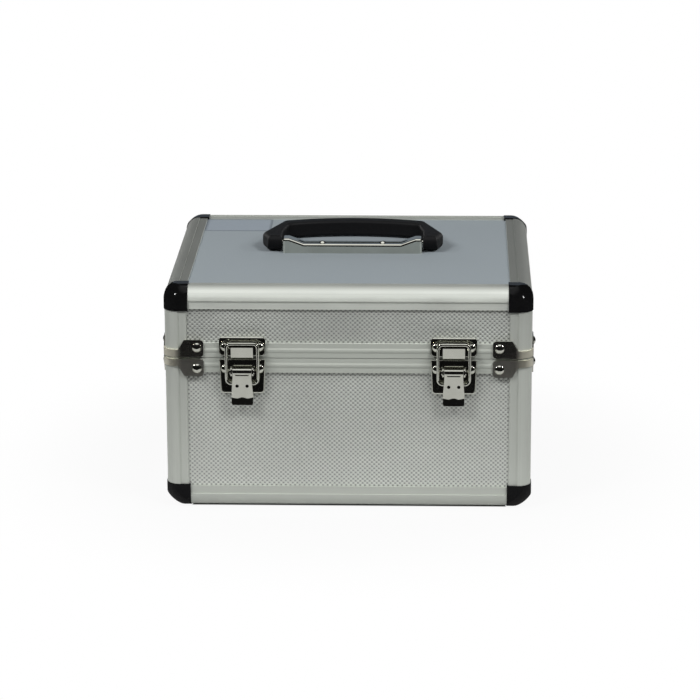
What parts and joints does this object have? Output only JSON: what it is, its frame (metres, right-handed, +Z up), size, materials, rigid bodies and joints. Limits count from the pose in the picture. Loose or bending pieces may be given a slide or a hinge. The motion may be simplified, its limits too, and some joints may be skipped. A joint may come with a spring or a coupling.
{
  "type": "art supply box",
  "caption": "Small aluminium-framed carry case for art supplies, with a hinged lid, draw latches, black corner caps and a folding handle.",
  "frame": {"origin": "middle of the footprint, on the surface that the case stands on", "axes": "+X to the right seen from the front, +Y to the back (hinge side), +Z up"},
  "size_m": [0.2552, 0.232, 0.167],
  "materials": {
    "frame_aluminium": "satin anodised extrusion",
    "embossed_panel": "silver foil board with a fine diamond emboss",
    "smooth_panel": "satin silver-grey foil board",
    "bottom_board": "satin silver-grey foil board",
    "cap_plastic": "moulded black plastic",
    "grip_plastic": "moulded black plastic with a fine grain",
    "lining": "black felt on board",
    "chrome": "bright plated steel"
  },
  "bodies": {
    "base": {"bottom_front_edge": "frame_aluminium", "bottom_back_edge": "frame_aluminium", "bottom_left_edge": "frame_aluminium", "bottom_right_edge": "frame_aluminium", "base_corner_posts": "frame_aluminium", "base_front_rim": "frame_aluminium", "base_back_rim": "frame_aluminium", "base_left_rim": "frame_aluminium", "base_right_rim": "frame_aluminium", "base_front_panel": "embossed_panel", "base_back_panel": "embossed_panel", "base_left_panel": "embossed_panel", "base_right_panel": "embossed_panel", "bottom_panel": "bottom_board", "bottom_corner_caps": "cap_plastic", "base_liner": "lining", "base_corner_clips": "chrome", "base_clip_rivets": "chrome", "left_latch_plate": "chrome", "left_lever_pin": "chrome", "right_latch_plate": "chrome", "right_lever_pin": "chrome", "latch_plate_rivets": "chrome", "hinge_lower_leaves": "chrome", "hinge_pins": "chrome", "hinge_lower_rivets": "chrome"},
    "lid": {"top_front_edge": "frame_aluminium", "top_back_edge": "frame_aluminium", "top_left_edge": "frame_aluminium", "top_right_edge": "frame_aluminium", "lid_corner_posts": "frame_aluminium", "lid_front_rim": "frame_aluminium", "lid_back_rim": "frame_aluminium", "lid_left_rim": "frame_aluminium", "lid_right_rim": "frame_aluminium", "lid_front_panel": "embossed_panel", "lid_back_panel": "embossed_panel", "lid_left_panel": "embossed_panel", "lid_right_panel": "embossed_panel", "top_panel": "smooth_panel", "top_corner_caps": "cap_plastic", "lid_liner": "lining", "lid_corner_clips": "chrome", "lid_clip_rivets": "chrome", "left_catch_plate": "chrome", "right_catch_plate": "chrome", "catch_plate_rivets": "chrome", "hinge_upper_leaves": "chrome", "hinge_upper_rivets": "chrome", "handle_bracket": "chrome", "handle_bracket_rivets": "chrome", "handle_pivot_pins": "chrome"},
    "handle": {"handle_grip": "grip_plastic"},
    "left_latch_lever": {"left_lever": "chrome"},
    "right_latch_lever": {"right_lever": "chrome"},
    "left_latch_bail": {"left_bail": "chrome"},
    "right_latch_bail": {"right_bail": "chrome"}
  },
  "joints": [
    {"name": "lid_hinge", "type": "hinge", "parent": "base", "child": "lid", "pos_m": [0, 0.11323, 0.1073], "axis": [-1, 0, 0], "range_deg": [0, 100]},
    {"name": "handle_swing", "type": "hinge", "parent": "lid", "child": "handle", "pos_m": [0, 0.00013, 0.1615], "axis": [1, 0, 0], "range_deg": [0, 180]},
    {"name": "left_lever_swing", "type": "hinge", "parent": "base", "child": "left_latch_lever", "pos_m": [-0.0718, -0.11307, 0.0991], "axis": [-1, 0, 0], "range_deg": [0, 110]},
    {"name": "left_bail_swing", "type": "hinge", "parent": "left_latch_lever", "child": "left_latch_bail", "pos_m": [-0.0718, -0.11227, 0.0904], "axis": [-1, 0, 0], "range_deg": [-132, 0]},
    {"name": "right_lever_swing", "type": "hinge", "parent": "base", "child": "right_latch_lever", "pos_m": [0.0718, -0.11307, 0.0991], "axis": [-1, 0, 0], "range_deg": [0, 110]},
    {"name": "right_bail_swing", "type": "hinge", "parent": "right_latch_lever", "child": "right_latch_bail", "pos_m": [0.0718, -0.11227, 0.0904], "axis": [-1, 0, 0], "range_deg": [-132, 0]}
  ],
  "couplings": [
    {"joint": "left_bail_swing", "follows": "left_lever_swing", "ratio": -1.2},
    {"joint": "right_bail_swing", "follows": "right_lever_swing", "ratio": -1.2}
  ]
}
